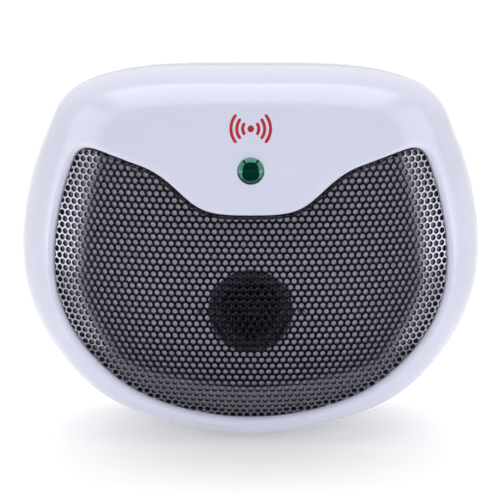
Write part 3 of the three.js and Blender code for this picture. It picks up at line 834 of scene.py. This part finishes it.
def rear_shell():
    """The tapering rear moulding with its stand ridge, screw bosses and openings."""
    front = PART_Y + SEAM / 2
    points, faces = tub_skin(0, front, EDGE_SOFT)
    shell = new_piece("rear_moulding", points, faces, SHELL, crease=40)
    cut(shell, [stand_ridge()], "UNION")
    cut(shell, [cutter("hollow", *tub_skin(WALL, PART_Y - CUT_PAST))])
    for x, z in CASE_SCREWS:
        boss = rod_cutter(BOSS_RADIUS, x, z, front, BACK_Y)
        cut(boss, [cutter("inside", *tub_skin(0.4, front))], "INTERSECT")
        cut(shell, [boss], "UNION")
    recesses = []
    shank_holes = []
    for x, z in CASE_SCREWS:
        recesses.append(rod_cutter(RECESS_RADIUS, x, z, CASE_SCREW_HEAD_Y, BACK_Y + CUT_PAST))
        shank_holes.append(rod_cutter(SHANK_HOLE, x, z, PART_Y - CUT_PAST, CASE_SCREW_HEAD_Y + 1, 32))
    holes = recesses + shank_holes
    back_wall = (BACK_Y - WALL - 1, BACK_Y + 1)
    holes.append(rod_cutter(JACK_HOLE, JACK_X, JACK_Z, *back_wall))
    holes.append(box_cutter(SWITCH_X, SWITCH_Z, *SWITCH_HOLE, *back_wall))
    cut(shell, holes)
    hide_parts("rear_shell")


# ---- indicator lens ----
def indicator_lens():
    """A polished cap on a short barrel, with a flange behind the shell's wall."""
    steps = 18
    ball = (LENS_RADIUS**2 + LENS_RISE**2) / (2 * LENS_RISE)
    slope = math.asin(LENS_RADIUS / ball)
    profile = [(0, FRONT_Y)]
    for k in range(1, steps + 1):
        bend = slope * k / steps
        profile.append((ball * math.sin(bend), FRONT_Y + ball * (1 - math.cos(bend))))
    collar, core = 4.9, 2.75
    front, back, bottom = LENS_FLANGE_Y, LENS_FLANGE_Y + 1.1, LENS_FLANGE_Y - 1.3
    profile += [(LENS_RADIUS, front), (collar, front), (collar, back)]
    profile += [(core, back), (core, bottom), (0, bottom)]
    lens = turned("green_dome_lens", profile, 0, LENS_Z, LENS, 96)
    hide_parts("led_lens")


# ---- red mark ----
def sound_mark():
    """A dot with three sound waves on each side, a thin layer of print on the dome."""
    for radius in MARK_WAVES:
        for side in (1, -1):
            sound_wave(radius, side)
    sound_dot()


def sound_dot():
    """The round dot between the waves, its edge softened."""
    count = 40
    turns = np.linspace(0, 2 * math.pi, count, endpoint=False)
    rings = [(MARK_DOT, -PRINT_ROOT), (MARK_DOT, PRINT_EDGE), (0.85, PRINT_LIFT), (0.5, PRINT_LIFT)]
    rows = []
    for r, lift in rings:
        rows.append(dome_at(r * np.cos(turns), MARK_Z + r * np.sin(turns), -lift))
    for lift in (PRINT_LIFT, -PRINT_ROOT):
        rows.append(dome_at(np.array([0.0]), np.array([MARK_Z]), -lift))
    last = (len(rings) - 1) * count
    top = len(rings) * count
    faces = strip_faces(len(rings), count)
    faces += [(last + i, last + (i + 1) % count, top) for i in range(count)]
    faces += [((i + 1) % count, i, top + 1) for i in range(count)]
    new_piece("sound_mark_dot", np.concatenate(rows), faces, MARK_RED, crease=60)


def sound_wave(radius, side):
    """One arc with rounded ends, on the right (side 1) or on the left (side -1) of the dot."""
    spread = math.radians(44)
    steps = 28
    rows = []
    for k in range(steps + 1):
        turn = -spread + 2 * spread * k / steps
        end = min(k, steps - k)
        w = MARK_LINE
        if end < 2:
            w = max(0.08, MARK_LINE * math.sqrt(1 - (1 - end / 2) ** 2))
        section = [
            (-w, -PRINT_ROOT), (-w, PRINT_EDGE), (-w * 0.8, PRINT_LIFT), (0, PRINT_LIFT),
            (w * 0.8, PRINT_LIFT), (w, PRINT_EDGE), (w, -PRINT_ROOT),
        ]
        for offset, lift in section:
            r = radius + offset
            x = np.array([side * r * math.cos(turn)])
            z = np.array([MARK_Z + r * math.sin(turn)])
            rows.append(dome_at(x, z, -lift)[0])
    count = len(section)
    faces = strip_faces(steps + 1, count) + end_caps(steps + 1, count)
    name = f"sound_mark_wave_{radius:.0f}_{'right' if side > 0 else 'left'}"
    new_piece(name, np.array(rows), faces, MARK_RED, crease=60)


# ---- tweeter ----
def tweeter():
    """The round case, the grey ring that holds the diaphragm and the dished diaphragm."""
    outer, inner = TWEETER_RADIUS, TWEETER_RADIUS - 1.4
    ear, plate = 17, -9.35  # the flange's radius and its face on the baffle
    front, flange, back = -12.1, -7.5, 0.3
    body = [
        (0, back), (outer, back), (outer, flange), (ear, flange), (ear, plate), (outer, plate),
        (outer, front), (inner + 0.2, front), (inner, front + 0.3), (inner, back - 1.4), (0, back - 1.4),
    ]
    housing = turned("tweeter_case", rounded(body, 0.35), 0, TWEETER_Z, SURROUND, 96)
    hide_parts("tweeter_housing")
    rim = inner - 0.15
    roll = 8.3
    y = front + 1.6
    ring = [(rim, y + 0.6), (rim, y), (rim - 0.7, y - 0.35), (roll, y + 0.9), (roll, y + 1.5), (rim, y + 0.6)]
    turned("tweeter_surround", rounded(ring, 0.4), 0, TWEETER_Z, SURROUND, 96)
    face = [
        (0, y + 3.4), (2, y + 3.7), (3.6, y + 4.6), (4.4, y + 5.8), (roll - 0.1, y + 1.0),
        (roll - 0.1, y + 1.6), (4.5, y + 6.5), (3.6, y + 5.6), (2, y + 4.4), (0, y + 4),
    ]
    cone = turned("tweeter_diaphragm", rounded(face, 0.8), 0, TWEETER_Z, CONE, 96)
    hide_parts("tweeter_cone")


# ---- back fittings ----
def cross_screw(node, x, z, head_y):
    """A pan-head screw with a cross recess, its head towards the back."""
    shank, head = 1.3, 2.8
    tip_y = CASE_SCREW_TIP_Y
    profile = [
        (0, tip_y), (shank - 0.2, tip_y + 0.9), (shank, tip_y + 1.4), (shank, head_y), (head, head_y),
        (head, head_y + 0.9), (head - 0.4, head_y + 1.6), (1.5, head_y + 2), (0, head_y + 2.1),
    ]
    screw = turned(node + "_turned", rounded(profile, 0.3), x, z, STEEL, 48)
    long, narrow = 1.5, 0.32
    depth = (head_y + 0.9, head_y + CUT_PAST)
    cut(screw, [box_cutter(x, z, long, narrow, *depth), box_cutter(x, z, narrow, long, *depth)])
    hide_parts(node)


def power_inlet():
    """A barrel inlet: black collar, steel sleeve inside it and brass centre pin."""
    mouth = BACK_Y - 0.5
    floor = mouth - JACK_DEPTH
    collar, bore = 4.2, 3.2
    wall = [
        (0, floor - 1.2), (collar, floor - 1.2), (collar, mouth - 0.3), (collar - 0.3, mouth),
        (bore + 0.25, mouth), (bore, mouth - 0.3), (bore, floor), (0, floor),
    ]
    body = turned("inlet_collar", wall, JACK_X, JACK_Z, BLACK, 72)
    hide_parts("dc_jack")
    lip = mouth - 1.5
    inside = bore - 0.2
    sleeve = [(bore, floor), (bore, lip), (bore - 0.1, lip + 0.2)]
    sleeve += [(inside, lip), (inside, floor), (bore, floor)]
    turned("inlet_sleeve", sleeve, JACK_X, JACK_Z, STEEL, 72)
    pin = [(0, floor - 0.5), (1, floor - 0.5), (1, mouth - 2.1), (0.75, mouth - 1.65), (0, mouth - 1.5)]
    turned("inlet_pin", rounded(pin, 0.25), JACK_X, JACK_Z, BRASS, 40)


def switch_knob():
    """The sliding knob: ridged on top, its stem reaching into the switch."""
    middle = SWITCH_X - SWITCH_TRAVEL / 2
    top = BACK_Y - 0.4
    low = BACK_Y - WALL - 0.15
    groove = top - 0.4
    stem = low - 2.6
    outline = [(-2, low), (-2, top - 0.2), (-1.85, top)]
    for x in (-1.2, 0, 1.2):
        outline += [(x - 0.34, top), (x - 0.24, groove), (x + 0.24, groove), (x + 0.34, top)]
    outline += [(1.85, top), (2, top - 0.2), (2, low), (1, low), (1, stem), (-1, stem), (-1, low)]
    rows = []
    for z, shrink in ((-2, 0.12), (-1.88, 0), (1.88, 0), (2, 0.12)):
        row = []
        for x, y in outline:
            row.append((middle + x * (1 - shrink / 2), min(y, top - shrink), SWITCH_Z + z))
        rows.append(row)
    count = len(outline)
    faces = strip_faces(len(rows), count) + end_caps(len(rows), count)
    points = np.concatenate([np.array(r) for r in rows])
    knob = new_piece("ridged_knob", points, faces, BLACK, crease=30, body="power_switch")
    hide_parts("switch_knob")


def rear_foot(node, side):
    """A soft round pad with rounded edges, standing on Z."""
    x, y = REAR_FOOT_X * side, REAR_FOOT_Y
    corners = [(0, 0), (REAR_FOOT_RADIUS, 0), (REAR_FOOT_RADIUS, REAR_FOOT_HEIGHT), (0, REAR_FOOT_HEIGHT)]
    profile = rounded(corners, 0.5)
    points = []
    sides = 72
    for r, z in profile[1:-1]:
        for k in range(sides):
            turn = 2 * math.pi * k / sides
            points.append((x + r * math.cos(turn), y + r * math.sin(turn), z))
    count = len(profile) - 2
    faces = strip_faces(count, sides) + end_caps(count, sides)
    pad = new_piece(node + "_pad", points, faces, RUBBER, crease=40)
    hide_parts(node)


# ---- carried-over CAD nodes ----
KEPT = {
    "baffle": BAFFLE, "grille_clamp": BLACK, "led_clip": BLACK, "driver_chip": BLACK,
    "piezo_disc": BRASS, "piezo_ceramic": CERAMIC, "status_led": LAMP, "switch_body": STEEL,
    "timing_crystal": STEEL, "supply_capacitor": SLEEVE, "output_capacitor": SLEEVE,
    "main_board": BOARD, "transformer_core": CORE, "transformer_coil": WINDING,
    "led_lead_red": WIRE_RED, "speaker_lead_red": WIRE_RED,
    "led_lead_black": WIRE_BLACK, "speaker_lead_black": WIRE_BLACK,
}
CORNERS = ("upper_left", "upper_right", "lower_left", "lower_right")
for corner in CORNERS:
    KEPT["board_screw_" + corner] = STEEL
for side in ("left", "right"):
    KEPT["baffle_screw_" + side] = STEEL
    KEPT["tweeter_screw_" + side] = STEEL
    KEPT["front_foot_" + side] = RUBBER


def dress(node, material):
    """Gives a CAD node its material and leaves its mesh as it is."""
    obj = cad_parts[node]
    obj.data.materials.clear()
    obj.data.materials.append(material)


# ---- studio, in metres ----
CAMERA_ELEVATION = math.radians(12)
CAMERA_DISTANCE = 0.9
CAMERA_LENS = 228.4
CAMERA_SENSOR = 36
CAMERA_AIM = (-0.2, PART_Y, 50)  # in millimetres, like the rise
CAMERA_RISE = 1.56
SKY_DARK = -0.35  # the sky is darkest where a direction's Y part is below this
SKY_BRIGHT = 0.35  # and brightest where it is above this
SIDE_BOX = (0.235, -0.085, 0.13)  # the place of the right softbox; the left one mirrors it
SIDE_SIZE = (0.16, 0.3)
TOP_BOX = (0, -0.05, 0.7)
TOP_SIZE = (0.8, 0.6)


def studio_world():
    """White surroundings that fade to dark on the grille's side."""
    world = bpy.data.worlds.new("studio")
    world.use_nodes = True
    tree = world.node_tree
    toward = tree.nodes.new("ShaderNodeTexCoord")
    parts = tree.nodes.new("ShaderNodeSeparateXYZ")
    fade = tree.nodes.new("ShaderNodeMapRange")
    fade.interpolation_type = "SMOOTHSTEP"
    fade.inputs["From Min"].default_value = SKY_DARK
    fade.inputs["From Max"].default_value = SKY_BRIGHT
    fade.inputs["To Min"].default_value = 0.02
    fade.inputs["To Max"].default_value = 0.9
    tree.links.new(toward.outputs["Generated"], parts.inputs["Vector"])
    tree.links.new(parts.outputs["Y"], fade.inputs["Value"])
    tree.links.new(fade.outputs["Result"], tree.nodes["Background"].inputs["Strength"])
    tree.nodes["Background"].inputs["Color"].default_value = (1.0, 0.99, 0.97, 1)
    return world


def camera():
    """A long lens a little above the object's middle, looking along +Y and down."""
    forward = Vector((0, math.cos(CAMERA_ELEVATION), -math.sin(CAMERA_ELEVATION)))
    up = Vector((0, math.sin(CAMERA_ELEVATION), math.cos(CAMERA_ELEVATION)))
    aim = Vector(CAMERA_AIM) * MM + up * CAMERA_RISE * MM
    data = bpy.data.cameras.new("camera")
    data.sensor_width = CAMERA_SENSOR
    data.lens = CAMERA_LENS
    data.clip_start = 0.01
    data.clip_end = 50
    eye = bpy.data.objects.new("camera", data)
    eye.location = aim - forward * CAMERA_DISTANCE
    eye.rotation_euler = (math.pi / 2 - CAMERA_ELEVATION, 0, 0)
    bpy.context.scene.collection.objects.link(eye)
    bpy.context.scene.camera = eye


def softbox(name, at, aim_at, size, radiance):
    """A rectangular light that is only seen in reflections."""
    light = bpy.data.lights.new(name, "AREA")
    light.shape = "RECTANGLE"
    light.size, light.size_y = size
    light.energy = radiance * math.pi * size[0] * size[1]
    box = bpy.data.objects.new(name, light)
    box.location = at
    box.rotation_euler = (Vector(aim_at) - Vector(at)).to_track_quat("-Z", "Y").to_euler()
    box.visible_camera = False
    box.visible_diffuse = False
    bpy.context.scene.collection.objects.link(box)


def wide_sun(name, strength, spread, tilt, color):
    """A soft directional light that isn't seen in reflections."""
    sun = bpy.data.lights.new(name, "SUN")
    sun.energy = strength
    sun.angle = math.radians(spread)
    sun.color = color
    source = bpy.data.objects.new(name, sun)
    source.rotation_euler = (math.radians(tilt), 0, 0)
    source.visible_glossy = False
    bpy.context.scene.collection.objects.link(source)


def card(name, corners, z, color, glow, strength, roughness=1.0, shine=0.0):
    """A flat card of the studio with its own plain material."""
    nodes = Nodes(name, color, roughness)
    nodes.set("Specular IOR Level", shine)
    nodes.set("Emission Color", (*glow, 1))
    nodes.set("Emission Strength", strength)
    mesh = bpy.data.meshes.new(name)
    mesh.from_pydata([(x, y, z) for x, y in corners], [], [tuple(range(len(corners)))])
    mesh.materials.append(nodes.material)
    flat = bpy.data.objects.new(name, mesh)
    bpy.context.scene.collection.objects.link(flat)
    return flat


def only_in_reflections(flat):
    """Hides a card from the camera and lets it neither light nor shade."""
    flat.visible_camera = False
    flat.visible_diffuse = False
    flat.visible_shadow = False


def studio():
    """Camera, floor and lights; dark and bright cards on the floor shape the mesh's reflections."""
    bpy.context.scene.view_settings.view_transform = "Standard"
    bpy.context.scene.world = studio_world()
    camera()
    x, y, z = SIDE_BOX
    for name, side in (("left_softbox", -1), ("right_softbox", 1)):
        softbox(name, (side * x, y, z), (0, 0, 0.06), SIDE_SIZE, radiance=2.8)
    softbox("top_softbox", TOP_BOX, (0, 0, 0.05), TOP_SIZE, radiance=3.8)
    wide_sun("ceiling", strength=1.55, spread=70, tilt=0, color=(1, 1, 1))
    wide_sun("front_fill", strength=1.12, spread=60, tilt=72, color=(0.93, 0.96, 1.08))

    wedge = [(-0.06, -0.05), (-1.6, -0.95), (-1.6, -1.6), (1.6, -1.6), (1.6, -0.95), (0.06, -0.05)]
    only_in_reflections(card("black_flag", wedge, 0.001, (0.002, 0.002, 0.002), (0.015, 0.012, 0.045), 1.0))
    strip = [(0.075, -0.05), (0.6, -0.36), (0.6, -0.05), (0.1, -0.02)]
    for side in (-1, 1):
        corners = [(side * x, y) for x, y in strip]
        only_in_reflections(card("side_reflector", corners, 0.0015, (0.5, 0.5, 0.5), (1, 1, 1), 2.4))
    square = [(-6, -6), (6, -6), (6, 6), (-6, 6)]
    card("floor", square, 0, (0.93, 0.93, 0.93), (1.0, 0.985, 0.87), 0.22, roughness=0.6, shine=0.1)


# ---- the whole object ----
front_shell()
grille()
rear_shell()
indicator_lens()
sound_mark()
tweeter()
power_inlet()
switch_knob()
for corner, (x, z) in zip(CORNERS, CASE_SCREWS):
    cross_screw("case_screw_" + corner, x, z, CASE_SCREW_HEAD_Y + 0.15)
rear_foot("rear_foot_left", -1)
rear_foot("rear_foot_right", 1)
for node, material in KEPT.items():
    dress(node, material)
studio()
